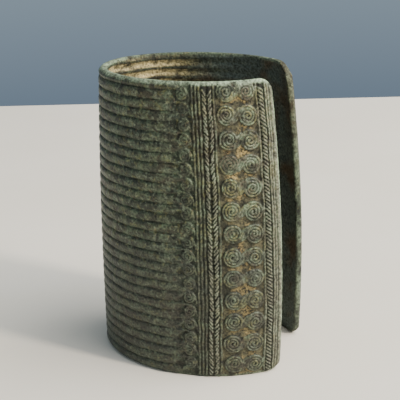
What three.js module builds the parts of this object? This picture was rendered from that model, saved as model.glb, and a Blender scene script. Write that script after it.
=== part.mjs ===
// Bronze cuff bracelet, open at one side and standing on its lower rim.
// The wall is an oval bent open at +X, a little narrower at the top than at the bottom.
// Its ornament was laid on as wax threads: ribs round the back, and a panel at each end
// with spirals, plain ridges, braids and a twisted rope.
// Millimetres, +Z up. The origin is under the middle of the box round the cuff.
import * as THREE from 'three';
import { mergeVertices } from 'three/addons/utils/BufferGeometryUtils.js';

// Overall form. The half axes are those of the outer oval at mid height, threads included.
const HEIGHT = 110;
const HALF_LENGTH = 40.2;
const HALF_WIDTH = 30.6;
const GAP_WIDTH = 28.5;
const TOP_DRAW_IN = 3.5;
const TOP_SET_BACK = 1.3;
const BOTTOM_SET_BACK = 0.5;
const WALL = 2.1;
const CORNER_RADIUS = 5;

// Ribs that run round the back, from one end panel to the other, above a plain low band.
// The lowest and the topmost are cut narrower by the band and by the upper rim.
const RIB_COUNT = 30;
const RIB_PITCH = 3.69;
const RIB_START = 0.3;
const RIB_HEIGHT = 0.9;
const RIB_VALLEY = 0.1;
const RIB_CREST = 0.45;
const RIB_TAPER = 2.5;
const BASE_BAND = 1.6;
const RIM_MARGIN = 0.4;

// End panel. Each place is measured along the outer wall from the end of the cuff.
const BORDER_PLACE = 1.4;
const CORD_PLACE = 3.6;
const ROPE_PLACE = 5.8;
const INNER_RIDGE_PLACE = 7.4;
const SPIRAL_PLACES = [11.5, 19.1];
const OUTER_RIDGE_PLACE = 23.6;
const BRAID_PLACES = [25, 27.1];
const TRIPLE_RIDGE_PLACES = [28.9, 30.2, 31.5];
const SMALL_SPIRAL_PLACE = 35.2;

// Threads of the panel: width and height where they stand out of the wall.
const BORDER = { width: 2.2, height: 0.8 };
const CORD = { width: 1.7, height: 0.6 };
const RIDGE = { width: 0.9, height: 0.5 };
const ROPE = { width: 2, height: 0.9, strand: 4.4, crests: 2 };
const BRAID = { width: 1.8, height: 0.7, strand: 4.4, crests: 1 };

// Spirals: a thread coiled from an outer radius to the middle, crests with a valley between.
const SPIRAL_ROWS = 13;
const SPIRAL_COIL = { radius: 3.5, turns: 1, steps: 8, height: 0.75, valley: 0.2 };
const SMALL_SPIRAL_COIL = { radius: 2.5, turns: 1, steps: 5, height: 0.6, valley: 0.2 };
const SMALL_SPIRAL_ROWS = 20;
const SMALL_SPIRAL_LOW = 2.9;
const SMALL_SPIRAL_TOP_MARGIN = 1.4;
const COIL_MARGIN = 0.1;

// How finely the faces are divided.
const WALL_ROWS = 4;
const CORNER_STEPS = 4;
const PANEL_STEP = 5;
const RIB_STEP = 6.2;

// Finish: worn, dark green-brown patina.
const BRONZE_COLOUR = 0x5a5c4c;
const BRONZE_ROUGHNESS = 0.75;
const BRONZE_METALNESS = 0.35;

// The wall's bare face, without threads, follows this oval at mid height.
const gapAngle = Math.asin(GAP_WIDTH / 2 / HALF_WIDTH);
const oval = new THREE.EllipseCurve(
  0,
  0,
  HALF_LENGTH - RIB_HEIGHT,
  HALF_WIDTH - RIB_HEIGHT,
  -gapAngle,
  gapAngle,
  true,
);
oval.arcLengthDivisions = 720;
const wallLength = oval.getLength();
const backPlace = wallLength / 2;

// Level of a height: -1 at the foot, 0 in the middle and 1 at the top.
const levelAt = (z) => (2 * z) / HEIGHT - 1;

// Oval's growth at a height: none at the foot and in the middle, a little between them,
// and narrower towards the top.
function spread(z) {
  const level = levelAt(z);
  return (-TOP_DRAW_IN * level * (1 + level)) / 2;
}

// How far the oval is set back from the gap, because the ends reach out at mid height.
function setBack(z) {
  const level = levelAt(z);
  const lean = (TOP_SET_BACK - BOTTOM_SET_BACK) / 2;
  const bow = (TOP_SET_BACK + BOTTOM_SET_BACK) / 2;
  return lean * level + bow * level * level;
}

// How far the rims draw in towards mid height near the end, for its rounded corners.
function cornerDrop(place) {
  const reach = Math.max(CORNER_RADIUS - place, 0);
  return CORNER_RADIUS - Math.sqrt(CORNER_RADIUS ** 2 - reach ** 2);
}

// Half of the cuff, from one end to the middle of the back, is first drawn flat:
// place runs along the wall from the end, out stands out of the wall, z is height.
const points = [];
const faces = [];

function point(place, out, z) {
  points.push({ place, out, z });
  return points.length - 1;
}

// Joins two rows of points, which may be divided differently, by how far along key they are.
function zip(first, second, key) {
  let i = 0;
  let j = 0;
  while (i < first.length - 1 || j < second.length - 1) {
    const nextFirst = i < first.length - 1 ? points[first[i + 1]][key] : Infinity;
    const nextSecond = j < second.length - 1 ? points[second[j + 1]][key] : Infinity;
    if (nextFirst <= nextSecond) {
      faces.push(first[i], first[i + 1], second[j]);
      i += 1;
    } else {
      faces.push(first[i], second[j + 1], second[j]);
      j += 1;
    }
  }
}

// An upright row of points from the lower rim to the upper one.
function uprightRow(place, rows, outAt) {
  const low = cornerDrop(place);
  const row = [];
  for (let k = 0; k <= rows; k += 1) {
    row.push(point(place, outAt(k), low + ((HEIGHT - 2 * low) * k) / rows));
  }
  return row;
}

const plainRow = (place, out) => uprightRow(place, WALL_ROWS, () => out);

// The outer face is a run of upright rows, each joined to the one before.
const outerRows = [];

function addRow(row) {
  const before = outerRows[outerRows.length - 1];
  if (before) {
    zip(before, row, 'z');
  }
  outerRows.push(row);
}

// A plain thread, laid upright: half round, with two shoulders.
function uprightRidge(place, thread) {
  addRow(plainRow(place - thread.width / 2, 0));
  addRow(plainRow(place - thread.width / 4, thread.height));
  addRow(plainRow(place + thread.width / 4, thread.height));
  addRow(plainRow(place + thread.width / 2, 0));
}

// A twisted or braided cord, laid upright: its crest rises and sinks with every strand.
function uprightCord(place, cord) {
  const rows = Math.round((2 * HEIGHT) / cord.strand);
  addRow(plainRow(place - cord.width / 2, 0));
  for (let crest = 0; crest < cord.crests; crest += 1) {
    const across = ((crest + 1) / (cord.crests + 1) - 1 / 2) * cord.width;
    const outAt = (k) => ((k + crest) % 2 === 0 ? cord.height : cord.height / 2);
    addRow(uprightRow(place + across, rows, outAt));
  }
  addRow(plainRow(place + cord.width / 2, 0));
}

// A spiral in its own cell of the wall, its thread winding in clockwise seen from outside.
// Corners are given clockwise from the upper one on the side of the cuff's end.
function spiralCell(place, height, coil, corners) {
  const last = coil.turns * coil.steps;
  const pitch = coil.radius / (coil.turns + 1);
  const face = (a, b, c) => faces.push(a, c, b);
  // Points of one line of the coil, drawn in from its rim by a share of the pitch.
  const ring = (inset, out, to) => {
    const line = [];
    for (let step = 0; step <= to; step += 1) {
      const turn = step / coil.steps;
      const angle = coil.start + 2 * Math.PI * turn;
      const radius = coil.radius - pitch * (turn + inset);
      line.push(point(place - radius * Math.cos(angle), out, height - radius * Math.sin(angle)));
    }
    return line;
  };
  const strip = (first, second, step, across) => {
    face(first[step], first[step + 1], second[across + 1]);
    face(first[step], second[across + 1], second[across]);
  };
  const rim = ring(0, 0, coil.steps - 1);
  const crests = ring(1 / 2, coil.height, last);
  const valleys = ring(1, coil.valley, last);
  rim.push(valleys[0]);
  for (let step = 0; step < coil.steps; step += 1) {
    strip(rim, crests, step, step);
  }
  for (let step = 0; step < last; step += 1) {
    strip(crests, valleys, step, step);
    const inner = step + coil.steps;
    if (inner < last) {
      strip(valleys, crests, step, inner);
    } else {
      face(valleys[step], valleys[step + 1], crests[last]);
    }
  }
  // The thread's blunt outer end.
  face(rim[0], crests[0], valleys[0]);
  // The bare wall from the coil out to the corners of its cell.
  const cornerOf = (step) => {
    const turn = coil.start / (2 * Math.PI) + (step + 1 / 2) / coil.steps;
    return corners[(Math.floor(turn * 4) + 1) % 4];
  };
  for (let step = 0; step < coil.steps; step += 1) {
    face(cornerOf(step), rim[step + 1], rim[step]);
    if (cornerOf(step + 1) !== cornerOf(step) && step + 1 < coil.steps) {
      face(cornerOf(step), cornerOf(step + 1), rim[step + 1]);
    }
  }
  face(cornerOf(coil.steps - 1), rim[0], valleys[0]);
  face(cornerOf(coil.steps - 1), cornerOf(0), rim[0]);
}

// An upright column of spirals, one to a cell, evenly spaced between two heights. Its cells
// reach from the first of its sides to the second. Returns the row of cell corners on its
// far side, which the next column can share.
function spiralColumn(place, sides, count, low, high, coil, sharedRow) {
  const pitch = (high - low) / count;
  const edges = [0];
  for (let k = 1; k < count; k += 1) {
    edges.push(low + pitch * k);
  }
  edges.push(HEIGHT);
  const nearRow = sharedRow ?? edges.map((edge) => point(sides[0], 0, edge));
  const farRow = edges.map((edge) => point(sides[1], 0, edge));
  if (!sharedRow) {
    addRow(nearRow);
  }
  for (let k = 0; k < count; k += 1) {
    const corners = [nearRow[k + 1], nearRow[k], farRow[k], farRow[k + 1]];
    spiralCell(place, low + pitch * (k + 1 / 2), coil, corners);
  }
  outerRows.push(farRow);
  return farRow;
}

// Height of the valley under a rib, kept above the low band and below the upper rim.
function valleyUnder(rib) {
  const valley = RIB_START + RIB_PITCH * rib;
  return Math.min(Math.max(valley, BASE_BAND), HEIGHT - RIM_MARGIN);
}

// One row across the ribs, each a narrow valley and a broad crest, all the way up.
function ribbedRow(place) {
  const row = [point(place, 0, 0)];
  for (let rib = 0; rib < RIB_COUNT; rib += 1) {
    const valley = valleyUnder(rib);
    const ribWidth = valleyUnder(rib + 1) - valley;
    const middle = valley + ribWidth / 2;
    const shoulder = (ribWidth * RIB_CREST) / 2;
    row.push(point(place, RIB_VALLEY, valley));
    row.push(point(place, RIB_HEIGHT, middle - shoulder));
    row.push(point(place, RIB_HEIGHT, middle + shoulder));
  }
  row.push(point(place, RIB_VALLEY, HEIGHT - RIM_MARGIN));
  row.push(point(place, 0, HEIGHT));
  return row;
}

// The panel beside the end: border, cords, two columns of spirals, ridges and braids,
// and a column of small spirals where the ribs end.
function endPanel() {
  addRow(plainRow(0, 0));
  uprightRidge(BORDER_PLACE, BORDER);
  uprightRidge(CORD_PLACE, CORD);
  uprightCord(ROPE_PLACE, ROPE);
  uprightRidge(INNER_RIDGE_PLACE, RIDGE);
  const [near, far] = SPIRAL_PLACES;
  const reach = SPIRAL_COIL.radius + COIL_MARGIN;
  const sides = [near - reach, (near + far) / 2, far + reach];
  const leftCoil = { ...SPIRAL_COIL, start: 0 };
  const rightCoil = { ...SPIRAL_COIL, start: Math.PI };
  const shared = spiralColumn(near, sides.slice(0, 2), SPIRAL_ROWS, 0, HEIGHT, rightCoil);
  spiralColumn(far, sides.slice(1), SPIRAL_ROWS, 0, HEIGHT, leftCoil, shared);
  uprightRidge(OUTER_RIDGE_PLACE, RIDGE);
  BRAID_PLACES.forEach((place) => uprightCord(place, BRAID));
  TRIPLE_RIDGE_PLACES.forEach((place) => uprightRidge(place, RIDGE));
  const smallCoil = { ...SMALL_SPIRAL_COIL, start: 0 };
  const smallReach = SMALL_SPIRAL_COIL.radius + COIL_MARGIN;
  const smallSides = [SMALL_SPIRAL_PLACE - smallReach, SMALL_SPIRAL_PLACE + smallReach];
  const top = HEIGHT - SMALL_SPIRAL_TOP_MARGIN;
  const rows = SMALL_SPIRAL_ROWS;
  spiralColumn(SMALL_SPIRAL_PLACE, smallSides, rows, SMALL_SPIRAL_LOW, top, smallCoil);
}

// The ribs from the panel to the middle of the back.
function ribs() {
  const first = SMALL_SPIRAL_PLACE + SMALL_SPIRAL_COIL.radius + RIB_TAPER;
  const steps = Math.ceil((backPlace - first) / RIB_STEP);
  for (let k = 0; k <= steps; k += 1) {
    addRow(ribbedRow(first + ((backPlace - first) * k) / steps));
  }
}

// The smooth inner face, and the edges that join it to the outer one.
function innerFace() {
  const innerRows = [];
  const steps = Math.ceil((backPlace - CORNER_RADIUS) / PANEL_STEP);
  for (let k = 0; k < CORNER_STEPS; k += 1) {
    const place = CORNER_RADIUS * (1 - Math.cos((k * Math.PI) / 2 / CORNER_STEPS));
    innerRows.push(plainRow(place, -WALL));
  }
  for (let k = 0; k <= steps; k += 1) {
    const place = CORNER_RADIUS + ((backPlace - CORNER_RADIUS) * k) / steps;
    innerRows.push(plainRow(place, -WALL));
  }
  for (let k = 1; k < innerRows.length; k += 1) {
    zip(innerRows[k], innerRows[k - 1], 'z');
  }
  const foot = (row) => row[0];
  const head = (row) => row[row.length - 1];
  zip(innerRows[0], outerRows[0], 'z');
  zip(innerRows.map(head), outerRows.map(head), 'place');
  zip(outerRows.map(foot), innerRows.map(foot), 'place');
}

// Bends the flat drawing round the oval.
function bent({ place, out, z }) {
  const middle = oval.getPointAt(place / wallLength);
  const tangent = oval.getTangentAt(place / wallLength);
  const size = 1 + spread(z) / HALF_LENGTH;
  const x = middle.x * size - tangent.y * out - setBack(z);
  const y = place === backPlace ? 0 : middle.y * size + tangent.x * out;
  return [x, y, z];
}

// The whole cuff: the bent half and its mirror image, joined down the middle of the back.
function cuffGeometry() {
  endPanel();
  ribs();
  innerFace();
  const half = points.map(bent);
  const positions = [...half, ...half.map(([x, y, z]) => [x, -y, z])];
  const index = [...faces];
  for (let k = 0; k < faces.length; k += 3) {
    index.push(faces[k] + half.length, faces[k + 2] + half.length, faces[k + 1] + half.length);
  }
  const geometry = new THREE.BufferGeometry();
  geometry.setAttribute('position', new THREE.Float32BufferAttribute(positions.flat(), 3));
  geometry.setIndex(index);
  const cuff = mergeVertices(geometry);
  cuff.computeVertexNormals();
  cuff.computeBoundingBox();
  return cuff;
}

const bronze = new THREE.MeshStandardMaterial({
  color: BRONZE_COLOUR,
  roughness: BRONZE_ROUGHNESS,
  metalness: BRONZE_METALNESS,
});
const cuff = new THREE.Mesh(cuffGeometry(), bronze);
cuff.name = 'cuff';
const centre = cuff.geometry.boundingBox.getCenter(new THREE.Vector3());
cuff.position.set(-centre.x, -centre.y, 0);

const group = new THREE.Group();
group.add(cuff);

export default group;
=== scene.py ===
# %% [markdown]
# # A bronze cuff cast from wax threads
# The object is one casting: a tall oval cuff, open at one side, that stands on its rim.
# Its maker rolled wax into threads, laid them on a wax sheet as ribs, coils, ridges and
# braids, bent the sheet round a core, and cast the whole in bronze. This lesson follows
# the same order: draw the threads flat, raise them on a flat sheet, bend the sheet, and
# then give the metal its patina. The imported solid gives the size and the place.

# %% Load the frame
import math

import bpy
import numpy as np
from mathutils import Matrix, Vector


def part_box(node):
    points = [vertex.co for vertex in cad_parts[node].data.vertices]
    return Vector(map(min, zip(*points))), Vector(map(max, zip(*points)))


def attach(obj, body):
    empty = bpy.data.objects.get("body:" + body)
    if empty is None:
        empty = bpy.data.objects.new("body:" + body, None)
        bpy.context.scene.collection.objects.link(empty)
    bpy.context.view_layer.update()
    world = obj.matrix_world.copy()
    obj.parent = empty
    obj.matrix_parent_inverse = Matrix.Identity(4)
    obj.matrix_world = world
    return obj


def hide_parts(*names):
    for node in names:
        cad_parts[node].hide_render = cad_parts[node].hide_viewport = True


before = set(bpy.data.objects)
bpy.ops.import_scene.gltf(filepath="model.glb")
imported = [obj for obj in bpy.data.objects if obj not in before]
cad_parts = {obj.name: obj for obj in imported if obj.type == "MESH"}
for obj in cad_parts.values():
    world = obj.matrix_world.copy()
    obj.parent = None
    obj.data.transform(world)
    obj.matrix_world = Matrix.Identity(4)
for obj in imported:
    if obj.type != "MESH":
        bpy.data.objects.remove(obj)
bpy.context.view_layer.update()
cad_low, cad_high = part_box("cuff")
print("cuff box in mm:", [round(1000 * v, 1) for v in (*cad_low, *cad_high)])

# %% [markdown]
# ## Sizes
# All lengths are real millimetres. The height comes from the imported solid, and the oval,
# the wall and the places of the threads are the sizes that the solid was made from.
# A place is measured along the bare outer wall from the end of the cuff.

# %% Sizes of the cuff
MM = 0.001

height = (cad_high.z - cad_low.z) / MM
half_length = 40.2
half_width = 30.6
gap_width = 28.5
top_draw_in = 3.5
top_set_back = 1.3
bottom_set_back = 0.5
wall = 2.1
corner_radius = 5.0
worn_corner_radius = 8.5
rib_rise = 0.9
edge_round = 0.7

gap_angle = math.asin(gap_width / 2 / half_width)
bare_length = half_length - rib_rise
bare_width = half_width - rib_rise
levels = np.linspace(-1, 1, 401)
sizes = 1 - top_draw_in / 2 * levels * (1 + levels) / half_length
set_backs = (top_set_back - bottom_set_back) / 2 * levels
set_backs = set_backs + (top_set_back + bottom_set_back) / 2 * levels**2
furthest_back = float((bare_length * sizes + set_backs).max()) + rib_rise
oval_middle = cad_low.x / MM + furthest_back
print("middle of the oval at x =", round(oval_middle, 2), "mm")

# %% [markdown]
# ## The oval
# The wall follows an oval that is open towards +X. It is drawn once as a plain poly
# curve, because the Sample Curve node can then place any point of the sheet by its
# distance along the wall.

# %% Draw the oval
def oval_points(count):
    angles = np.linspace(-gap_angle, gap_angle - 2 * math.pi, count)
    return np.stack([bare_length * np.cos(angles), bare_width * np.sin(angles)], axis=1)


oval_line = oval_points(1441)
wall_length = float(np.linalg.norm(np.diff(oval_line, axis=0), axis=1).sum())


def placed(name, data):
    thing = bpy.data.objects.new(name, data)
    bpy.context.scene.collection.objects.link(thing)
    return thing


def make_oval():
    curve = bpy.data.curves.new("oval", "CURVE")
    curve.dimensions = "3D"
    spline = curve.splines.new("POLY")
    spline.points.add(len(oval_line) - 1)
    flat = np.zeros((len(oval_line), 4))
    flat[:, :2] = oval_line * MM
    flat[:, 3] = 1
    spline.points.foreach_set("co", flat.ravel())
    return placed("oval", curve)


oval = make_oval()
print("bare wall is", round(wall_length, 1), "mm long")

# %% [markdown]
# ## Helpers for nodes
# Every node in this file, for shapes and for colours, is added by one function. It takes
# settings by name and inputs by socket, links sockets, and hands back an output. Wear,
# soil and polish all depend on several things at once, such as the place, the height and
# the relief, so a second function multiplies any number of them.

# %% Add a node, multiply factors, fill in a modifier
def add(tree, kind, inputs=None, out=0, **settings):
    node = tree.nodes.new(kind)
    for name, value in settings.items():
        setattr(node, name, value)
    for socket, value in (inputs or {}).items():
        if isinstance(value, bpy.types.NodeSocket):
            tree.links.new(value, node.inputs[socket])
        else:
            node.inputs[socket].default_value = value
    return node.outputs[out] if len(node.outputs) else node


def product(tree, *factors):
    """The product of sockets, numbers and ranges.

    A range (value, start, full) rises smoothly from 0 to 1, and a range
    (value, start, end, first, last) goes straight from its first to its last number.
    """
    ready = []
    for factor in factors:
        if isinstance(factor, tuple):
            value, start, end, *ends = factor
            first, last = ends or (0.0, 1.0)
            limits = {"Value": value, 1: start, 2: end, 3: first, 4: last}
            way = "LINEAR" if ends else "SMOOTHSTEP"
            factor = add(tree, "ShaderNodeMapRange", limits, interpolation_type=way)
        ready.append(factor)
    result, *others = ready
    for factor in others:
        result = add(tree, "ShaderNodeMath", {0: result, 1: factor}, operation="MULTIPLY")
    return result


def set_inputs(modifier, values):
    for item in modifier.node_group.interface.items_tree:
        if item.item_type == "SOCKET" and item.in_out == "INPUT" and item.name in values:
            modifier[item.identifier] = values[item.name]


# %% [markdown]
# ## Threads drawn flat
# A thread is only a line here: a list of points (place, height). Seen from outside, the
# place grows to the left. Lines that go together become one mesh of edges, which is the
# lightest thing that the Geometry Proximity node can measure from.

# %% Lines as a mesh of edges
def thread_object(name, lines):
    vertices = []
    edges = []
    for line in lines:
        first = len(vertices)
        vertices.extend((place * MM, 0.0, z * MM) for place, z in line)
        edges.extend((k, k + 1) for k in range(first, len(vertices) - 1))
    mesh = bpy.data.meshes.new(name)
    mesh.from_pydata(vertices, edges, [])
    return placed(name, mesh)


def bezier(start, lead, trail, end, steps=14):
    points = []
    for k in range(steps + 1):
        t = k / steps
        weights = ((1 - t) ** 3, 3 * t * (1 - t) ** 2, 3 * t * t * (1 - t), t**3)
        corners = (start, lead, trail, end)
        points.append(tuple(sum(w * c[axis] for w, c in zip(weights, corners)) for axis in (0, 1)))
    return points


def coil(place, z, outer, pitch, turns, start, hand):
    """A thread winding in from its outer radius: hand 1 is clockwise seen from outside."""
    steps = round(26 * turns)
    points = []
    for k in range(steps + 1):
        turn = turns * k / steps
        angle = start - hand * 2 * math.pi * turn
        radius = outer - pitch * turn
        points.append((place - radius * math.cos(angle), z + radius * math.sin(angle)))
    return points


# %% [markdown]
# ### The repeat
# Coils, braid strands and rib ends each repeat up the wall at an even pitch. The motif is
# drawn once, and a small node tree sets copies of it on an upright line of points. A
# slight random turn and shift, with a fixed seed, keeps the hand-made look.

# %% Tree that repeats a motif up the wall
def repeat_tree():
    tree = bpy.data.node_groups.new("repeat up the wall", "GeometryNodeTree")
    sockets = [("Motif", "NodeSocketObject"), ("Count", "NodeSocketInt"), ("Seed", "NodeSocketInt")]
    lengths_and_angle = ("Pitch", "Lowest", "Shift", "Turn", "Middle")
    sockets += [(name, "NodeSocketFloat") for name in lengths_and_angle]
    for name, kind in sockets:
        tree.interface.new_socket(name, in_out="INPUT", socket_type=kind)
    tree.interface.new_socket("Threads", in_out="OUTPUT", socket_type="NodeSocketGeometry")
    given = tree.nodes.new("NodeGroupInput").outputs
    motif = add(tree, "GeometryNodeObjectInfo", {"Object": given["Motif"]}, out="Geometry")
    low = add(tree, "ShaderNodeCombineXYZ", {"X": given["Middle"], "Z": given["Lowest"]})
    pitch = add(tree, "ShaderNodeCombineXYZ", {"Z": given["Pitch"]})
    line = add(
        tree,
        "GeometryNodeMeshLine",
        {"Count": given["Count"], "Start Location": low, "Offset": pitch},
        mode="OFFSET",
    )
    least = product(tree, given["Shift"], -1.0)
    shift = add(
        tree,
        "FunctionNodeRandomValue",
        {"Min": least, "Max": given["Shift"], "Seed": given["Seed"]},
        out="Value",
        data_type="FLOAT_VECTOR",
    )
    back = product(tree, given["Turn"], -1.0)
    turn = add(
        tree,
        "FunctionNodeRandomValue",
        {2: back, 3: given["Turn"], "Seed": given["Seed"]},
        out=1,
        data_type="FLOAT",
    )
    flat = add(tree, "ShaderNodeVectorMath", {0: shift, 1: (1.0, 0.0, 1.0)}, operation="MULTIPLY")
    spots = add(tree, "GeometryNodeSetPosition", {"Geometry": line, "Offset": flat})
    turned = add(tree, "ShaderNodeCombineXYZ", {"Y": turn})
    copies = add(
        tree,
        "GeometryNodeInstanceOnPoints",
        {"Points": spots, "Instance": motif, "Rotation": turned},
    )
    real = add(tree, "GeometryNodeRealizeInstances", {"Geometry": copies})
    done = add(tree, "GeometryNodeSetMaterial", {"Geometry": real})
    tree.links.new(done, tree.nodes.new("NodeGroupOutput").inputs["Threads"])
    return tree


def evaluated_mesh(thing):
    depsgraph = bpy.context.evaluated_depsgraph_get()
    return bpy.data.meshes.new_from_object(thing.evaluated_get(depsgraph), depsgraph=depsgraph)


repeat = repeat_tree()
print(len(repeat.nodes), "nodes repeat a motif up the wall")


def repeated(name, lines, middle, count, pitch, lowest, shift=0.0, turn=0.0, seed=1):
    """Copies of a motif, drawn about its middle, up the wall. Gives back its lines' mesh."""
    motif = thread_object(name + " motif", [[(p - middle, z) for p, z in line] for line in lines])
    holder = thread_object(name, [])
    modifier = holder.modifiers.new("repeat", "NODES")
    modifier.node_group = repeat
    places = {"Motif": motif, "Count": count, "Pitch": pitch * MM, "Lowest": lowest * MM}
    looseness = {"Shift": shift * MM, "Turn": turn, "Middle": middle * MM, "Seed": seed}
    set_inputs(modifier, {**places, **looseness})
    mesh = evaluated_mesh(holder)
    bpy.data.objects.remove(holder)
    bpy.data.objects.remove(motif)
    print(name, "has", len(mesh.edges), "short edges in", count, "copies")
    return mesh


def joined(name, meshes):
    """One thread object out of several meshes of edges."""
    vertices = []
    edges = []
    for mesh in meshes:
        first = len(vertices)
        vertices.extend(tuple(v.co) for v in mesh.vertices)
        edges.extend((a + first, b + first) for a, b in (e.vertices for e in mesh.edges))
    together = bpy.data.meshes.new(name)
    together.from_pydata(vertices, edges, [])
    return placed(name, together)


# %% [markdown]
# ### Coils
# Two columns of coils stand side by side. Each row is one S-scroll: the thread winds out
# of the left coil, leaves under it, climbs between the two, and winds in over the top of
# the right one. Two short strands beside the climb make it look like a laid cord.

# %% Draw one S-scroll and repeat it
right_coil = 11.5
left_coil = 19.1
coil_stagger = 0.7
coil_rows = 13
coil_pitch = height / coil_rows
coil_low = coil_pitch / 2 + 0.7
coil_radius = 3.45
thread_pitch = 1.05
coil_turns = 2.95
climb_reach = 5.0
strand_bulge = 1.0


def s_scroll():
    left_z = coil_stagger
    into_left = coil(left_coil, left_z, coil_radius, thread_pitch, coil_turns, -math.pi / 2, 1)
    into_right = coil(right_coil, 0, coil_radius, thread_pitch, coil_turns, math.pi / 2, 1)
    climb = bezier(
        (left_coil, left_z - coil_radius),
        (left_coil - climb_reach, left_z - coil_radius),
        (right_coil + climb_reach, coil_radius),
        (right_coil, coil_radius),
    )
    bulge = [math.sin(math.pi * k / (len(climb) - 1)) for k in range(len(climb))]
    beside = []
    for side in (-1, 1):
        line = [(p + side * strand_bulge * b, z) for b, (p, z) in zip(bulge, climb)]
        beside.append(line[3:-3])
    return [into_left, climb, into_right, *beside]


def dot(place, z):
    """A line so short that a round boss grows on it."""
    return [(place, z), (place, z + 0.01)]


coil_rows_up = ((right_coil + left_coil) / 2, coil_rows, coil_pitch, coil_low)
coil_mesh = repeated("coils", s_scroll(), *coil_rows_up, shift=0.16, turn=0.05, seed=5)
boss_lines = [dot(left_coil, coil_stagger), dot(right_coil, 0)]
boss_mesh = repeated("coil bosses", boss_lines, *coil_rows_up)

# %% [markdown]
# ### Ribs
# The ribs run level round the back. Near the panel they gather in threes: the top one
# climbs over a small coil and winds into it, the bottom one dips under another, and the
# middle one comes to a point between them. So each rib is drawn in three lines: a broad
# one, a narrower tip, and the thin threads that run along it into the coil. An arch passes
# over each small coil and closes it towards the ridges.

# %% Draw ribs, tips and small coils
rib_count = 30
rib_pitch = 3.69
rib_start = 0.3
small_rows = 20
small_low = 5.6
small_pitch = 5.28
small_coil = 35.2
small_radius = 2.25
small_thread = 0.9
small_turns = 2.1
rib_end_place = 39.6
later_ends = (0, 1.2, 0.5)
climb_steps = 20
past_back = wall_length / 2 + 2


def rib_height(index):
    return rib_start + rib_pitch * (index + 0.5)


def rib_lines(index):
    """Broad line, tips and threads of one rib. Its place in its group of three decides."""
    z = rib_height(index)
    role = index % 3 - 1
    group = index // 3
    sway = math.sin(index * 2.4)
    stop = rib_end_place + later_ends[index % 3] + 0.5 * sway
    broad = [(place, z) for place in np.linspace(stop, past_back, 40)]
    if role == 0:
        between = small_low + small_pitch * (2 * group + 0.5)
        point = (small_coil + small_radius + 0.2, between)
        return broad, [bezier((stop, z), (stop - 2, z), (point[0] + 1.6, between), point)], []
    coil_z = small_low + small_pitch * (2 * group + (role + 1) / 2)
    over = (small_coil + 0.4, coil_z + role * small_radius)
    climb = bezier((stop, z), (stop - 2.2, z), (over[0] + 2.6, over[1]), over, climb_steps)
    outer, inner = (
        [(p, level + spread * role * k / climb_steps) for k, (p, level) in enumerate(climb)]
        for spread in (0.8, -0.75)
    )
    start = role * math.pi / 2
    turn = coil(small_coil, coil_z, small_radius, small_thread, small_turns, start, role)
    return broad, [climb[: len(climb) * 2 // 3]], [outer, climb[4:], inner[6:], turn]


def arch_over_small_coil():
    """A thread that comes from the ribs, passes over the coil and runs down its far side."""
    start = (small_coil + 6.0, 2.5)
    lead = (small_coil - 0.6, 3.1)
    trail = (small_coil - 2.7, 2.4)
    return bezier(start, lead, trail, (small_coil - 2.75, -1.9), 18)


broad_ribs = []
rib_tips = []
small_coils = []
for index in range(rib_count):
    broad, tips, fine = rib_lines(index)
    broad_ribs.append(broad)
    rib_tips.extend(tips)
    small_coils.extend(fine)
small_coil_mesh = thread_object("small coils", small_coils)
small_rows_up = (small_coil, small_rows, small_pitch, small_low)
small_boss_line = [(small_coil, 0), (small_coil + 0.01, 0)]
small_boss_mesh = repeated("small bosses", [small_boss_line], *small_rows_up)
arch_lines = [arch_over_small_coil()]
arch_mesh = repeated("arches", arch_lines, *small_rows_up, shift=0.1, turn=0.05, seed=3)
print(rib_count, "ribs end in", small_rows, "small coils")

# %% [markdown]
# ### Braids and rope
# A braid is a round cord with short slanted strands over it. Two fine braids lie side by
# side with opposite slants, so together they read as a row of arrow heads. The rope beside
# the end is bolder and steeper, and two thin plain threads keep it company.

# %% Draw one strand of each cord and repeat it
cords = {
    # name: (place, width, strand pitch, rise of a strand along the cord, slant)
    "left braid": (27.2, 1.1, 1.5, 1.9, 1),
    "right braid": (25.1, 1.05, 1.5, 1.85, -1),
    "rope": (5.85, 1.7, 1.35, 1.7, 1),
}


def strand(place, width, climb, slant):
    half = width / 2
    low = (place - slant * half, -climb / 2)
    high = (place + slant * half, climb / 2)
    return bezier(low, (low[0], low[1] + climb / 3), (high[0], high[1] - climb / 3), high, 6)


# The braids were plaited less evenly than the rope: (shift in mm, turn in radians).
looseness = {"left braid": (0.17, 0.14), "right braid": (0.17, 0.14), "rope": (0.08, 0.06)}
strand_meshes = []
for seed, (name, (place, width, pitch, climb, slant)) in enumerate(cords.items()):
    count = int((height - 2) / pitch)
    lines = [strand(place, width, climb, slant)]
    strand_meshes.append(
        repeated(name, lines, place, count, pitch, 1.5, *looseness[name], seed)
    )

# %% [markdown]
# ### Plain threads
# The rest are single straight threads: the rolled border, thin ridges between the cords,
# and the round cores that carry the strands of rope and braids.

# %% Draw ridges and gather the kinds
def upright(place):
    return [(place, z) for z in np.linspace(0.3, height - 0.3, 24)]


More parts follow.
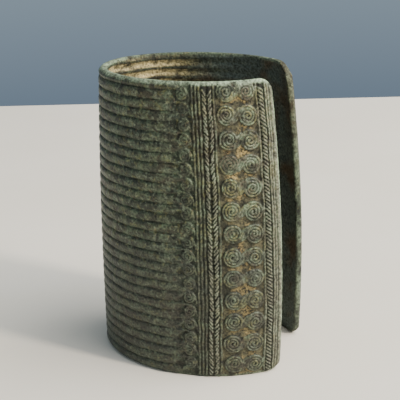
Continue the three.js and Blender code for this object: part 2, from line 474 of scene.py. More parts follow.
border_place = 1.5
ridge_places = (2.95, 3.95, 7.6, 23.6, 28.9, 30.2, 31.5)
rope_core = [upright(cords["rope"][0])]
braid_cores = [upright(cords[name][0]) for name in ("right braid", "left braid")]
threads = {
    # name: (thread object, half width, rise)
    "Rib": (thread_object("ribs", broad_ribs), 1.9, rib_rise),
    "Rib tip": (thread_object("rib tips", rib_tips), 1.0, 0.3),
    "Border": (thread_object("border", [upright(border_place)]), 1.2, 0.75),
    "Ridge": (thread_object("ridges", [upright(p) for p in ridge_places]), 0.5, 0.6),
    "Rope core": (thread_object("rope core", rope_core), 0.95, 0.75),
    "Braid core": (thread_object("braid cores", braid_cores), 0.85, 0.45),
    "Boss": (joined("bosses", [boss_mesh]), 3.9, 0.35),
    "Small boss": (joined("small bosses", [small_boss_mesh]), 2.6, 0.45),
}
strands = {
    "Coil": (joined("coils", [coil_mesh]), 0.5, 0.6),
    "Small coil": (small_coil_mesh, 0.41, 0.36),
    "Arch": (joined("arches", [arch_mesh]), 0.44, 0.55),
    "Strand": (joined("strands", strand_meshes), 0.42, 0.45),
}
print(len(threads), "kinds of broad thread and", len(strands), "kinds of fine strand")

# %% [markdown]
# ## The sheet
# The wax sheet is a flat slab: an outer face, an inner face, and soft edges round it. It
# is a grid, close together where the panels are and wider along the ribs, which are
# straight. The metal edges are rounded here, because wear rounds them all, and the upper
# corner of the far end is worn further back than the others.

# %% Build the flat sheet
panel_end = 37.5
fine_step = 0.27
rib_step = 0.9
inner_every = 3
most_thinning = 0.98


def column_places():
    edge = edge_round * (1 - np.cos(np.linspace(0, math.pi / 2, 5)))
    fine = np.linspace(edge_round, panel_end, round((panel_end - edge_round) / fine_step) + 1)[1:]
    ribbed = wall_length - 2 * panel_end
    middle = np.linspace(panel_end, wall_length - panel_end, round(ribbed / rib_step) + 1)[1:-1]
    half = np.concatenate([edge, fine])
    return np.concatenate([half, middle, (wall_length - half)[::-1]])


def rounding(distance, radius):
    """How far a round edge of this radius has drawn in, at a distance from the edge."""
    reach = np.maximum(radius - distance, 0)
    return radius - np.sqrt(radius**2 - reach**2)


def cross_section(rows):
    """Round the slab: (out, how thinning moves it, share of the height, lift) at each point."""
    angles = np.linspace(0, math.pi / 2, 4)
    corner = [(edge_round * (math.cos(a) - 1), edge_round * math.sin(a)) for a in angles]
    outer = [(0.0, -1.0, share, 0.0) for share in np.linspace(0, 1, rows + 1)]
    over_top = [(dip, -1.0, 1.0, lift) for dip, lift in corner[1:]]
    down_in = [(-wall - dip, 1.0, 1.0, lift) for dip, lift in corner[::-1]]
    inner_rows = np.linspace(1, 0, rows // inner_every + 1)[1:]
    inner = [(-wall, 1.0, share, 0.0) for share in inner_rows]
    under = [(-wall - dip, 1.0, 0.0, -lift) for dip, lift in corner[1:]]
    up_out = [(dip, -1.0, 0.0, -lift) for dip, lift in corner[:0:-1]]
    return np.array(outer + over_top + down_in + inner + under + up_out)


def sheet_points():
    """Places, distances out and heights of all points, one row for each column of the wall."""
    places = column_places()
    from_end = np.minimum(places, wall_length - places)
    low = rounding(from_end, corner_radius)
    worn = np.where(places > wall_length / 2, rounding(from_end, worn_corner_radius), low)
    high = height - worn
    rows = inner_every * round((height - 2 * edge_round) / fine_step / inner_every)
    out, thinning, up, lift = cross_section(rows).T
    thin = rounding(from_end, edge_round)
    out = out[None] + thinning[None] * thin[:, None] * most_thinning
    span = high - low - 2 * edge_round
    z = low[:, None] + edge_round + span[:, None] * up[None] + lift[None]
    edge = np.minimum(np.minimum(z - low[:, None], high[:, None] - z), from_end[:, None])
    return np.repeat(places[:, None], out.shape[1], axis=1), out, z, edge


def sheet_mesh():
    place, out, z, edge = sheet_points()
    vertices = np.stack([place, out, z], axis=2).reshape(-1, 3) * MM
    index = np.arange(place.size).reshape(place.shape)
    after = np.roll(index, -1, axis=1)
    quads = np.stack([index[:-1], after[:-1], after[1:], index[1:]], axis=2).reshape(-1, 4)
    # The two end faces, as one face each: the loop turns clockwise there or anticlockwise.
    faces = [*quads.tolist(), index[0][::-1].tolist(), index[-1].tolist()]
    mesh = bpy.data.meshes.new("cuff_casting")
    mesh.from_pydata(vertices.tolist(), [], faces)
    attribute = mesh.attributes.new("edge_distance", "FLOAT", "POINT")
    attribute.data.foreach_set("value", (edge * MM).ravel())
    print("sheet has", len(mesh.vertices), "points")
    return mesh


cuff = placed("cuff_casting", sheet_mesh())

# %% [markdown]
# ## Raise the threads and bend the sheet
# The threads aren't modelled one by one. For every point of the sheet one tree measures
# how far the nearest thread of each kind is, and lifts the point by a rounded profile. So
# any number of threads melt into one closed casting, as wax does. The broad threads make
# the base, the fine strands ride on top, and last the sheet is bent round the oval.

# %% The tree and its inputs
def tree_and_inputs():
    tree = bpy.data.node_groups.new("raise the threads and bend the wall", "GeometryNodeTree")
    kinds = (*threads, *strands)
    numbers = ["Length", "Height", "Wall", "Half length", "Top draw in", "Top set back"]
    numbers += ["Bottom set back", "Middle", "Waver", "Wear"]
    numbers += [f"{kind} {size}" for kind in kinds for size in ("half width", "rise")]
    numbers += ["Inner rib pitch", "Inner rib rise", "Roughness", "Streaks"]
    sockets = [("Sheet", "NodeSocketGeometry"), ("Oval", "NodeSocketObject")]
    sockets += [(f"{kind} threads", "NodeSocketObject") for kind in kinds]
    sockets += [(name, "NodeSocketFloat") for name in numbers]
    sockets += [("Finish", "NodeSocketMaterial")]
    for name, kind in sockets:
        tree.interface.new_socket(name, in_out="INPUT", socket_type=kind)
    tree.interface.new_socket("Casting", in_out="OUTPUT", socket_type="NodeSocketGeometry")
    return tree, tree.nodes.new("NodeGroupInput").outputs


# %% [markdown]
# ### Where the threads run
# The far half of the cuff repeats the near one, so a place is counted from the nearer end.
# Wax threads laid by hand are never quite straight. A slow noise moves every place a
# little before it is looked up, which costs less than bending the threads themselves.

# %% Look up the place
def place_on_threads(tree, given, position, along, z):
    other = add(tree, "ShaderNodeMath", {0: given["Length"], 1: along}, operation="SUBTRACT")
    nearer = add(tree, "ShaderNodeMath", {0: along, 1: other}, operation="MINIMUM")
    waver = add(
        tree,
        "ShaderNodeTexNoise",
        {"Vector": position, "Scale": 1 / (10.5 * MM), "Detail": 4.0, "Roughness": 0.6},
        out="Color",
    )
    half = (0.5, 0.5, 0.5)
    shift = add(tree, "ShaderNodeVectorMath", {0: waver, 1: half}, operation="SUBTRACT")
    size = given["Waver"]
    shift = add(tree, "ShaderNodeVectorMath", {0: shift, "Scale": size}, operation="SCALE")
    in_sheet = (1.0, 0.0, 1.0)
    shift = add(tree, "ShaderNodeVectorMath", {0: shift, 1: in_sheet}, operation="MULTIPLY")
    flat = add(tree, "ShaderNodeCombineXYZ", {"X": nearer, "Z": z})
    return nearer, add(tree, "ShaderNodeVectorMath", {0: flat, 1: shift}, operation="ADD")


# %% [markdown]
# ### A thread's profile
# A round thread pressed on a sheet stands up like half a circle: 1 on its crest, 0 beside
# it, and round between. The ribs are a little flatter, with narrow valleys between them,
# so the power in their profile is higher than that of a circle.

# %% Rounded profile of one kind of thread
circle_power = 2.0
rib_power = 2.7


def profile(tree, given, place, kind):
    held = given[f"{kind} threads"]
    lines = add(tree, "GeometryNodeObjectInfo", {"Object": held}, out="Geometry")
    distance = add(
        tree,
        "GeometryNodeProximity",
        {0: lines, "Sample Position": place},
        out="Distance",
        target_element="EDGES",
    )
    width = given[f"{kind} half width"]
    share = add(tree, "ShaderNodeMath", {0: distance, 1: width}, operation="DIVIDE")
    power = rib_power if kind == "Rib" else circle_power
    power = add(tree, "ShaderNodeMath", {0: share, 1: power}, operation="POWER")
    rest = add(tree, "ShaderNodeMath", {0: 1.0, 1: power}, operation="SUBTRACT", use_clamp=True)
    face = add(tree, "ShaderNodeMath", {0: rest}, operation="SQRT")
    return face, product(tree, face, given[f"{kind} rise"])


def highest(tree, heights):
    top, *others = heights
    for other in others:
        top = add(tree, "ShaderNodeMath", {0: top, 1: other}, operation="MAXIMUM")
    return top


# %% [markdown]
# ### Relief and wear
# The broad ribs sink as they near the panel, so that the fine threads take over there.
# Burial and handling have rubbed the fine strands down in patches, and more towards the
# top, so only the strands lose height and the broad forms keep theirs.

# %% Height of all threads together
def relief_of_threads(tree, given, position, nearer, place, z):
    profiles = {kind: profile(tree, given, place, kind) for kind in (*threads, *strands)}
    heights = {kind: rise for kind, (_, rise) in profiles.items()}
    sink = add(
        tree,
        "ShaderNodeMapRange",
        {"Value": nearer, 1: 38 * MM, 2: 47 * MM, 3: 0.35, 4: 1.0},
        interpolation_type="SMOOTHSTEP",
    )
    heights["Rib"] = product(tree, heights["Rib"], sink)
    base = highest(tree, [heights[kind] for kind in threads])
    fine = highest(tree, [heights[kind] for kind in strands])

    patches = add(
        tree,
        "ShaderNodeTexNoise",
        {"Vector": position, "Scale": 1 / (14.3 * MM), "Detail": 5.0, "Roughness": 0.68},
    )
    patches = product(tree, (patches, 0.4, 0.66))
    near_top = product(tree, (z, 78 * MM, 106 * MM, 0.0, 0.65))
    loss = product(tree, highest(tree, [patches, near_top]), given["Wear"])
    kept = add(tree, "ShaderNodeMath", {0: 1.0, 1: loss}, operation="SUBTRACT")
    fine = product(tree, fine, kept)
    relief = add(tree, "ShaderNodeMath", {0: base, 1: fine}, operation="ADD")

    # Cores and bosses lie under finer threads, so they have no crest of their own.
    hidden = ("Rope core", "Braid core", "Boss", "Small boss")
    crest = highest(tree, [face for kind, (face, _) in profiles.items() if kind not in hidden])
    return relief, crest


# %% [markdown]
# ### Outer and inner face
# Relief belongs to the outer face and dies out at the rims. The inner face keeps soft
# level waves instead, left by what was wound round the core. They fade towards the ends,
# where the panel was pressed smooth.

# %% Masks of the two faces, and the inner waves
def face_masks(tree, given, out):
    edge = add(tree, "GeometryNodeInputNamedAttribute", {"Name": "edge_distance"})
    inside = product(tree, (edge, 0.1 * MM, 1.5 * MM))
    behind = product(tree, given["Wall"], -0.3)
    is_outer = add(tree, "ShaderNodeMath", {0: out, 1: behind}, operation="GREATER_THAN")
    is_inner = add(tree, "ShaderNodeMath", {0: 1.0, 1: is_outer}, operation="SUBTRACT")
    return product(tree, inside, is_outer), product(tree, inside, is_inner)


def inner_waves(tree, given, position, nearer, inner, z):
    turns = add(tree, "ShaderNodeMath", {0: z, 1: given["Inner rib pitch"]}, operation="DIVIDE")
    wobble = add(
        tree, "ShaderNodeTexNoise", {"Vector": position, "Scale": 1 / (25 * MM), "Detail": 1.0}
    )
    turns = add(tree, "ShaderNodeMath", {0: turns, 1: wobble}, operation="ADD")
    angle = product(tree, turns, 2 * math.pi)
    wave = add(tree, "ShaderNodeMath", {0: angle}, operation="SINE")
    fade = (nearer, 18 * MM, 45 * MM, 0.2, 1.0)
    return product(tree, wave, inner, fade, given["Inner rib rise"])


# %% [markdown]
# ### Cast skin
# The metal copies the wax and the clay round it: an uneven skin all over, and along the
# ribs long shallow grooves from rolling the wax. Both are shape and not bump, because they
# are coarse enough to show in the outline.

# %% Uneven skin and drawn streaks
def cast_skin(tree, given, position, nearer):
    skin = add(
        tree, "ShaderNodeTexNoise", {"Vector": position, "Scale": 1 / (2.4 * MM), "Detail": 3.0}
    )
    skin = add(tree, "ShaderNodeMath", {0: skin, 1: -0.5}, operation="ADD")
    skin = product(tree, skin, given["Roughness"])
    lengthened = (0.14, 1.0, 1.0)
    drawn = add(tree, "ShaderNodeVectorMath", {0: position, 1: lengthened}, operation="MULTIPLY")
    streak = add(
        tree, "ShaderNodeTexNoise", {"Vector": drawn, "Scale": 1 / (1.4 * MM), "Detail": 2.0}
    )
    streak = add(tree, "ShaderNodeMath", {0: streak, 1: -0.5}, operation="ADD")
    on_ribs = (nearer, 36 * MM, 42 * MM, 0.0, 1.0)
    streak = product(tree, streak, on_ribs, given["Streaks"])
    return add(tree, "ShaderNodeMath", {0: skin, 1: streak}, operation="ADD")


# %% [markdown]
# ### The bend
# The oval gives every place a point and a direction outwards. The cuff is wider at the foot
# than at the top, so the oval shrinks with the height. It also moves back, so that the ends
# reach out furthest at mid height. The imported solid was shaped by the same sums.

# %% Position on the bent wall
def bent(tree, given, along, level, z):
    line = add(tree, "GeometryNodeObjectInfo", {"Object": given["Oval"]}, out="Geometry")
    spot = add(
        tree,
        "GeometryNodeSampleCurve",
        {"Curves": line, "Length": along},
        out="Position",
        mode="LENGTH",
        use_all_curves=True,
    )
    tangent = spot.node.outputs["Tangent"]
    tangent_x, tangent_y, _ = add(tree, "ShaderNodeSeparateXYZ", {0: tangent}).node.outputs
    backwards = product(tree, tangent_y, -1.0)
    outward = add(tree, "ShaderNodeCombineXYZ", {"X": backwards, "Y": tangent_x})

    # The step goes from -1 at the foot to 1 at the top.
    step = add(tree, "ShaderNodeMath", {0: z, 1: given["Height"]}, operation="DIVIDE")
    step = add(tree, "ShaderNodeMath", {0: step, 1: 2.0, 2: -1.0}, operation="MULTIPLY_ADD")
    one_up = add(tree, "ShaderNodeMath", {0: step, 1: 1.0}, operation="ADD")
    one_down = add(tree, "ShaderNodeMath", {0: step, 1: -1.0}, operation="ADD")
    growth = product(tree, step, one_up)
    draw_in, half = given["Top draw in"], given["Half length"]
    draw_in = add(tree, "ShaderNodeMath", {0: draw_in, 1: half}, operation="DIVIDE")
    draw_in = product(tree, draw_in, -0.5)
    size = add(tree, "ShaderNodeMath", {0: growth, 1: draw_in, 2: 1.0}, operation="MULTIPLY_ADD")

    top = product(tree, one_up, given["Top set back"])
    foot = product(tree, one_down, given["Bottom set back"])
    back = add(tree, "ShaderNodeMath", {0: top, 1: foot}, operation="ADD")
    middle = {0: product(tree, back, step), 1: -0.5, 2: given["Middle"]}
    middle = add(tree, "ShaderNodeMath", middle, operation="MULTIPLY_ADD")

    on_line = add(tree, "ShaderNodeVectorMath", {0: spot, "Scale": size}, operation="SCALE")
    pushed = add(tree, "ShaderNodeVectorMath", {0: outward, "Scale": level}, operation="SCALE")
    raised = add(tree, "ShaderNodeCombineXYZ", {"X": middle, "Z": z})
    final = add(tree, "ShaderNodeVectorMath", {0: on_line, 1: pushed}, operation="ADD")
    return add(tree, "ShaderNodeVectorMath", {0: final, 1: raised}, operation="ADD")


# %% [markdown]
# ### Values for the finish
# The patina has to know the threads. Five values go with every point: how high its relief
# is, how near the crest of a thread it is, its place from the nearer end, how much it is
# carved, and whether it faces inwards. The inner waves count as low relief.

# %% Work out the values for the finish
def values_for_finish(tree, given, nearer, raised, crest, wave, outer, inner):
    relief = add(tree, "ShaderNodeMath", {0: raised, 1: given["Rib rise"]}, operation="DIVIDE")
    band = add(tree, "ShaderNodeMath", {0: wave, 1: given["Inner rib rise"]}, operation="DIVIDE")
    band = add(tree, "ShaderNodeMath", {0: band, 1: 0.45, 2: 0.4}, operation="MULTIPLY_ADD")
    band = product(tree, band, inner)
    crest = product(tree, crest, outer)
    inner_carved = product(tree, inner, 0.8)
    return {
        "relief": add(tree, "ShaderNodeMath", {0: relief, 1: band}, operation="ADD"),
        "crest": add(tree, "ShaderNodeMath", {0: crest, 1: band}, operation="ADD"),
        "place": nearer,
        "carved": add(tree, "ShaderNodeMath", {0: outer, 1: inner_carved}, operation="ADD"),
        "inner": inner,
    }


# %% Put the tree together
def raise_and_bend_tree():
    tree, given = tree_and_inputs()
    position = add(tree, "GeometryNodeInputPosition")
    along, out, z = add(tree, "ShaderNodeSeparateXYZ", {0: position}).node.outputs
    nearer, place = place_on_threads(tree, given, position, along, z)
    relief, crest = relief_of_threads(tree, given, position, nearer, place, z)
    outer, inner = face_masks(tree, given, out)
    raised = product(tree, relief, outer)
    wave = inner_waves(tree, given, position, nearer, inner, z)
    level = out
    for step in (raised, wave, cast_skin(tree, given, position, nearer)):
        level = add(tree, "ShaderNodeMath", {0: level, 1: step}, operation="ADD")
    final = bent(tree, given, along, level, z)

    stored = given["Sheet"]
    values = values_for_finish(tree, given, nearer, raised, crest, wave, outer, inner)
    for name, value in values.items():
        stored = add(
            tree,
            "GeometryNodeStoreNamedAttribute",
            {"Geometry": stored, "Name": name, "Value": value},
            data_type="FLOAT",
            domain="POINT",
        )
    moved = add(tree, "GeometryNodeSetPosition", {"Geometry": stored, "Position": final})
    real = add(tree, "GeometryNodeRealizeInstances", {"Geometry": moved})
    finish = {"Geometry": real, "Material": given["Finish"]}
    done = add(tree, "GeometryNodeSetMaterial", finish)
    tree.links.new(done, tree.nodes.new("NodeGroupOutput").inputs["Casting"])
    return tree


bend = raise_and_bend_tree()
print(len(bend.nodes), "nodes raise the threads and bend the wall")

# %% [markdown]
# ## Patina
# Old bronze from the ground is hardly metallic to the eye: a rough mineral skin in dark
# olive, brown and grey-green covers it. Handling polishes the crests to a paler green-grey,
# and soil stays as ochre in the hollows of the panel. The colours read the relief stored
# with the mesh, so they follow the threads, and noise in Object coordinates breaks them up.

# %% Colours and layers
def linear(hex_colour):
    parts = [int(hex_colour[k : k + 2], 16) / 255 for k in (1, 3, 5)]
    return (*(c / 12.92 if c <= 0.04045 else ((c + 0.055) / 1.055) ** 2.4 for c in parts), 1.0)


def layered(tree, ground, layers):
    """Colours laid over a ground, each with its share. A colour is a hex code or a socket."""
    colour = linear(ground)
    for how_much, tint in layers:
        tint = linear(tint) if isinstance(tint, str) else tint
        inputs = {"Factor": how_much, 6: colour, 7: tint}
        colour = add(tree, "ShaderNodeMix", inputs, out=2, data_type="RGBA")
    return colour


# %% [markdown]
# ### Patterns in the metal
# Each pattern is noise of a real size, moved by its own seed so that no two lie alike.
# Clouds are as wide as a thumb and specks as small as the threads. The grain of a cast
# skin is finer than the render can show, so it is drawn coarser here, at 0.87 mm.

# %% Read the stored values and add the patterns
patterns = {
    # name: (size in mm, detail, seed)
    "cloud": (18.0, 4.0, 0.0),
    "mottled": (3.85, 5.0, 0.4),
    "grain": (0.87, 3.0, 0.8),
    "pale specks": (1.6, 2.0, 1.7),
    "olive specks": (1.9, 2.0, 3.1),
    "brown specks": (1.7, 2.0, 4.9),
    "black specks": (1.1, 2.0, 6.3),
    "yellowish": (6.7, 3.0, 5.2),
    "greenish": (2.3, 2.0, 8.3),
    "brownish": (5.3, 3.0, 7.9),
    "dry soil": (3.7, 3.0, 9.1),
    "red soil": (7.7, 2.0, 2.2),
}


def values_and_patterns(tree):
    at = {}
    for name in ("relief", "crest", "place", "carved", "inner", "edge_distance"):
        at[name] = add(tree, "ShaderNodeAttribute", out="Fac", attribute_name=name)
    spot = add(tree, "ShaderNodeTexCoord", out="Object")
    _, at["y"], at["z"] = add(tree, "ShaderNodeSeparateXYZ", {0: spot}).node.outputs
    for name, (size, detail, seed) in patterns.items():
        away = (seed, 2.0 * seed, 0.0)
        moved = add(tree, "ShaderNodeVectorMath", {0: spot, 1: away}, operation="ADD")
        inputs = {"Vector": moved, "Scale": 1 / (size * MM), "Detail": detail}
        at[name] = add(tree, "ShaderNodeTexNoise", inputs)
    at["upper"] = product(tree, (at["z"], 30 * MM, 85 * MM))
    in_panel = (at["place"], 33 * MM, 20 * MM), (at["place"], 5 * MM, 8 * MM)
    at["in panel"] = product(tree, *in_panel)
    return at


# %% [markdown]
# ### Ground and crests
# The ground is dark olive metal in soft clouds, with small specks of other minerals, and
# more neutral low down. Crests are grey-green and go to yellow-olive and to brown every
# few millimetres. They are handled most near the ends and high up, and rope and braids,
# which stand highest, are rubbed palest.

# %% Layers of the ground and of the crests
def ground_layers(tree, at):
    layers = [
        (product(tree, (at["cloud"], 0.4, 0.66)), "#383529"),
        (product(tree, (at["mottled"], 0.4, 0.66)), "#45523f"),
    ]
    specks = (
        ("pale specks", 0.54, 0.5, "#6d7763"),
        ("olive specks", 0.58, 0.5, "#63633c"),
        ("brown specks", 0.63, 0.4, "#624c38"),
        ("black specks", 0.56, 0.65, "#191b17"),
    )
    for name, threshold, most, tint in specks:
        layers.append((product(tree, (at[name], threshold, threshold + 0.1), most), tint))
    layers.append((product(tree, (at["upper"], 0.5, 0.0), 0.45), "#393b37"))
    return layers


def crest_layers(tree, at):
    place = at["place"]
    tints = [
        (product(tree, (at["yellowish"], 0.44, 0.6)), "#7c794f"),
        (product(tree, (at["greenish"], 0.5, 0.62), 0.6), "#7f957a"),
        (product(tree, (at["brownish"], 0.5, 0.64)), "#5f5748"),
    ]
    handled = product(
        tree,
        (at["crest"], 0.5, 1.0),
        (at["mottled"], 0.34, 0.56),
        (place, 26 * MM, 35 * MM, 0.8, 0.17),
        (at["upper"], 0.0, 1.0, 0.5, 1.0),
        (place, 2.4 * MM, 3.2 * MM, 0.65, 1.0),
    )
    top = (at["crest"], 0.7, 1.0)
    on_rope = product(tree, top, (place, 8 * MM, 7 * MM), 0.5)
    over_braids = (place, 23.8 * MM, 24.6 * MM), (place, 28.4 * MM, 27.6 * MM)
    on_braids = product(tree, top, *over_braids, 0.42)
    crest_colour = layered(tree, "#717968", tints)
    return [(handled, crest_colour), (on_rope, "#949480"), (on_braids, "#949480")]


# %% [markdown]
# ### Dirt, painted shade, soil and the inner face
# Grooves beside the threads hold dark dirt and painted shade, less of it where the ribs die
# out. The bare ground between the coils is dull earth, with small bright patches of dry tan
# soil. The inner face keeps a crust of ochre soil, thickest round the back and near the top,
# where its paleness is also painted light falling in, and is bare grey-green and brown near
# the ends.

# %% Layers of dirt, painted shade, soil and painted light
def dirt_soil_and_painted_light_layers(tree, at):
    place, mottled, grain = at["place"], at["mottled"], at["grain"]
    rib_ends = product(tree, (place, 28.2 * MM, 29.4 * MM), (place, 46 * MM, 41 * MM))
    # Painted shade: the grooves between the threads go nearly black, for dirt and for the shade
    # that falls in them.
    groove_dirt_and_shade = product(
        tree,
        (at["crest"], 0.6, 0.1),
        at["carved"],
        (at["relief"], 0.05, 0.25, 0.45, 0.95),
        (at["in panel"], 0.0, 1.0, 1.0, 0.72),
        (rib_ends, 0.0, 1.0, 1.0, 0.5),
    )
    dry = product(
        tree,
        (at["dry soil"], 0.42, 0.62),
        (place, 9 * MM, 12 * MM),
        (place, 22 * MM, 19 * MM),
        (grain, 0.34, 0.54),
        (at["upper"], 0.0, 1.0, 0.4, 0.95),
    )
    tan = layered(tree, "#a4905f", [(product(tree, (at["red soil"], 0.56, 0.68), 0.45), "#8a5f3b")])
    soil = layered(tree, "#2f3026", [(product(tree, (mottled, 0.4, 0.6)), "#56533f"), (dry, tan)])
    hollow = product(
        tree, (at["relief"], 0.34, 0.05), at["carved"], at["in panel"], (grain, 0.2, 0.45), 0.95
    )
    # Painted light: the pale crust grows towards the top and round the back of the inner face,
    # where light falls in; the ochre soil under it is real.
    crust_and_painted_light = product(
        tree,
        at["inner"],
        (place, 40 * MM, 72 * MM),
        (at["crest"], 0.0, 0.45),
        (at["z"], 45 * MM, 92 * MM, 0.35, 1.0),
        (mottled, 0.26, 0.6),
    )
    bare_inside = product(tree, at["inner"], (place, 60 * MM, 30 * MM), 0.8)
    earthy = layered(tree, "#58635f", [(product(tree, (at["cloud"], 0.46, 0.6), 0.75), "#5c4630")])
    return [(groove_dirt_and_shade, "#161713"), (hollow, soil), (crust_and_painted_light, "#bcae80"), (bare_inside, earthy)]


# %% [markdown]
# ### Rims and ends
# Pale verdigris shows where the rims are rubbed, and it is also painted highlight along the
# lit rims: most of it on the end that is handled and faces the light, less at the far end,
# and little at the foot, which is in shade. The upper corner of the far end is stained
# brown.

# %% Layers of the rims: verdigris and painted highlights
def rim_layers(tree, at):
    place = at["place"]
    rim = product(tree, (at["edge_distance"], 1.5 * MM, 0.5 * MM))
    border = product(tree, (place, 2.9 * MM, 1.5 * MM), 0.12)
    rim = add(tree, "ShaderNodeMath", {0: rim, 1: border}, operation="MAXIMUM")
    lit_near_side = (at["y"], -8 * MM, 8 * MM, 1.0, 0.3)
    by_end = product(tree, (place, 10 * MM, 45 * MM, 1.0, 0.5), lit_near_side)
    at_back = product(tree, (place, 60 * MM, 90 * MM), 0.55)
    there = add(tree, "ShaderNodeMath", {0: by_end, 1: at_back}, operation="MAXIMUM")
    above_shaded_foot = (at["z"], 2 * MM, 12 * MM, 0.3, 1.0)
    # Painted highlight: the pale verdigris is strongest on the near side, which faces the light,
    # and weakest at the foot, which is in shade.
    rubbed_and_lit_rim = product(tree, rim, (at["mottled"], 0.32, 0.58), above_shaded_foot, there)
    far_corner = (at["y"], 0.0, 10 * MM), (place, 9 * MM, 3 * MM), (at["z"], 60 * MM, 100 * MM)
    return [(rubbed_and_lit_rim, "#9db094"), (product(tree, *far_corner, 0.45), "#46361f")]


# %% [markdown]
# ### The finish together
# The grain of the cast skin breaks up every tone, and with the mottling it makes the bump.
# Crests are smoother than the dirt between them, so small lights run along the threads.

# %% Material: buried bronze patina
def patina():
    material = bpy.data.materials.new("buried_bronze_patina")
    material.use_nodes = True
    tree = material.node_tree
    surface = tree.nodes["Principled BSDF"]
    at = values_and_patterns(tree)
    layers = [*ground_layers(tree, at), *crest_layers(tree, at)]
    layers += [*dirt_soil_and_painted_light_layers(tree, at), *rim_layers(tree, at)]
    colour = layered(tree, "#2e362c", layers)
    grain = at["grain"]
    shade = product(tree, (grain, 0.3, 0.7, 0.32, 1.68))
    colour = add(tree, "ShaderNodeVectorMath", {0: colour, "Scale": shade}, operation="SCALE")
    by_crest = product(tree, (at["crest"], 0.4, 1.0, 0.74, 0.44))
    by_grain = product(tree, (grain, 0.3, 0.7, -0.1, 0.12))
    roughness = add(tree, "ShaderNodeMath", {0: by_crest, 1: by_grain}, operation="ADD")
    rough_skin = add(tree, "ShaderNodeMath", {0: grain, 1: at["mottled"]}, operation="ADD")
    depth = {"Height": rough_skin, "Strength": 0.8, "Distance": 0.45 * MM}
    tree.links.new(colour, surface.inputs["Base Color"])
    tree.links.new(roughness, surface.inputs["Roughness"])
    tree.links.new(add(tree, "ShaderNodeBump", depth), surface.inputs["Normal"])
    # Mineral skin covers most of the metal, so the eye sees little of a metal's mirror.
    surface.inputs["Metallic"].default_value = 0.3
    return material


bronze = patina()
print(len(bronze.node_tree.nodes), "nodes make the patina")

# %% [markdown]
# ## Cast the cuff
# Each modifier is set, evaluated once and taken off again, which leaves a plain mesh.
# Decimate keeps the faces that carry the threads and merges those that lie flat, so that
# the piece stays under its limit without losing its carving.

# %% Evaluate the casting
most_triangles = 192000


def cast():
    modifier = cuff.modifiers.new("raise and bend", "NODES")
    modifier.node_group = bend
    values = {
        "Oval": oval,
        "Length": wall_length * MM,
        "Height": height * MM,
        "Wall": wall * MM,
        "Half length": half_length * MM,
        "Top draw in": top_draw_in * MM,
        "Top set back": top_set_back * MM,
        "Bottom set back": bottom_set_back * MM,
        "Middle": oval_middle * MM,
        "Waver": 1.6 * MM,
        "Wear": 0.75,
        "Inner rib pitch": rib_pitch * MM,
        "Inner rib rise": 0.4 * MM,
        "Roughness": 0.34 * MM,
        "Streaks": 0.4 * MM,
        "Finish": bronze,
    }
    for kind, (thread, half_width_mm, rise_mm) in {**threads, **strands}.items():
        values[f"{kind} threads"] = thread
        values[f"{kind} half width"] = half_width_mm * MM
        values[f"{kind} rise"] = rise_mm * MM
    set_inputs(modifier, values)
    full = evaluated_mesh(cuff)
    count = sum(len(p.vertices) - 2 for p in full.polygons)
    cuff.modifiers.clear()
    cuff.data = full
    thinner = cuff.modifiers.new("thin out", "DECIMATE")
    thinner.ratio = most_triangles / count
    mesh = evaluated_mesh(cuff)
    cuff.modifiers.clear()
    cuff.data = mesh
    mesh.name = "cuff_casting"
    mesh.shade_smooth()
    print("cast from", count, "triangles, kept", sum(len(p.vertices) - 2 for p in mesh.polygons))


cast()
for helper in [oval, *(thread for thread, _, _ in (*threads.values(), *strands.values()))]:
    bpy.data.objects.remove(helper)

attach(cuff, "root")
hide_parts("cuff")

# %% [markdown]
# ## Floor, light and camera
# The cuff stands on a plain pale floor, whose far edge is square to the view. A small lamp
# and a wide one stand to the right, and a grey backdrop that is brighter above and to the
# right fills the rest. The camera looks down at about twenty degrees, a short telephoto
# away, with the slight tilt of a hand-held picture.

# %% Floor
camera_azimuth = 19.80


def floor_material():
    material = bpy.data.materials.new("pale_matt_floor")
    material.use_nodes = True
    tree = material.node_tree
    surface = tree.nodes["Principled BSDF"]
    spot = add(tree, "ShaderNodeTexCoord", out="Object")
    inputs = {"Vector": spot, "Scale": 1 / (110 * MM), "Detail": 3.0}
    cloud = add(tree, "ShaderNodeTexNoise", inputs)
    tone = layered(tree, "#e2dccd", [(cloud, "#efebe1")])
    tree.links.new(tone, surface.inputs["Base Color"])
    surface.inputs["Roughness"].default_value = 0.9
    return material


def make_floor():
    half = 0.7
    depth = 0.402
    turn = Matrix.Rotation(math.radians(camera_azimuth), 3, "Z")
    corners = [(-half, -half, 0), (half, -half, 0), (half, depth, 0), (-half, depth, 0)]
    mesh = bpy.data.meshes.new("floor")
    mesh.from_pydata([turn @ Vector(corner) for corner in corners], [], [(0, 1, 2, 3)])
    mesh.materials.append(floor_material())
    return placed("floor", mesh)


make_floor()

# %% Light
def direction(azimuth, elevation):
    a, e = math.radians(azimuth), math.radians(elevation)
    return Vector((math.sin(a) * math.cos(e), -math.cos(a) * math.cos(e), math.sin(e)))


def aim(thing, target):
    thing.rotation_euler = (target - thing.location).to_track_quat("-Z", "Y").to_euler()


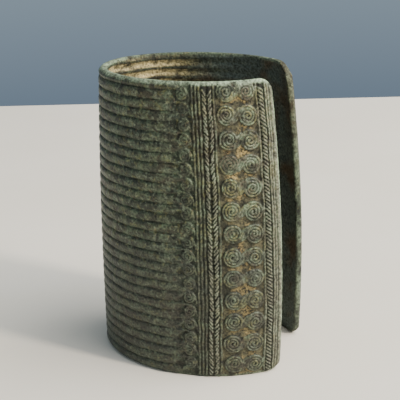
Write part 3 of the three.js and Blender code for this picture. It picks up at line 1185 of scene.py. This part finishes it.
def soft_light(name, azimuth, elevation, distance, size, power, colour):
    lamp = bpy.data.lights.new(name, "AREA")
    lamp.size = size
    lamp.energy = power
    lamp.color = linear(colour)[:3]
    light = placed(name, lamp)
    light.location = direction(azimuth, elevation) * distance
    aim(light, Vector((0, 0, height / 2 * MM)))


soft_light("lamp", camera_azimuth + 60, 39, 1.6, 0.14, 21, "#fff1de")
soft_light("window", camera_azimuth + 80, 55, 1.5, 1.3, 31, "#fbf8f2")
print("a lamp and a window light the cuff from the right")


def backdrop():
    """A grey world: dark low down, paler above, and palest high up on the right."""
    world = bpy.data.worlds.new("backdrop")
    world.use_nodes = True
    tree = world.node_tree
    way = add(tree, "ShaderNodeTexCoord", out="Generated")
    _, _, up = add(tree, "ShaderNodeSeparateXYZ", {0: way}).node.outputs
    turn = math.radians(camera_azimuth + 75)
    inputs = {0: way, 1: (0.8 * math.sin(turn), -0.8 * math.cos(turn), 0.6)}
    facing = add(tree, "ShaderNodeVectorMath", inputs, out="Value", operation="DOT_PRODUCT")
    above = product(tree, (up, -0.24, -0.13, 0.0, 1.0))
    bright = product(tree, (facing, 0.0, 1.0, 0.0, 1.0))
    tone = layered(tree, "#69798a", [(above, "#8393a0"), (bright, "#e8eaea")])
    tree.links.new(tone, tree.nodes["Background"].inputs["Color"])
    return world


bpy.context.scene.world = backdrop()

# %% Camera
def make_camera():
    elevation = 19.215
    azimuth = math.radians(camera_azimuth)
    roll = math.radians(1.379)
    distance = 373.61
    focal_pixels = 985.2
    image_pixels = 400.0
    sensor = 36.0
    back_way = direction(camera_azimuth, elevation)
    right = Vector((math.cos(azimuth), math.sin(azimuth), 0))
    up = back_way.cross(right)
    target = Vector((oval_middle, 0, 58.615)) + right * -1.055
    across = right * math.cos(roll) - up * math.sin(roll)
    upward = right * math.sin(roll) + up * math.cos(roll)
    data = bpy.data.cameras.new("camera")
    data.sensor_width = sensor
    data.lens = focal_pixels / image_pixels * sensor
    data.clip_start = 0.01
    camera = placed("camera", data)
    turned = Matrix((across, upward, back_way)).transposed().to_4x4()
    camera.matrix_world = Matrix.Translation((target + back_way * distance) * MM) @ turned
    bpy.context.scene.camera = camera
    print("the camera stands", distance, "mm away")


make_camera()
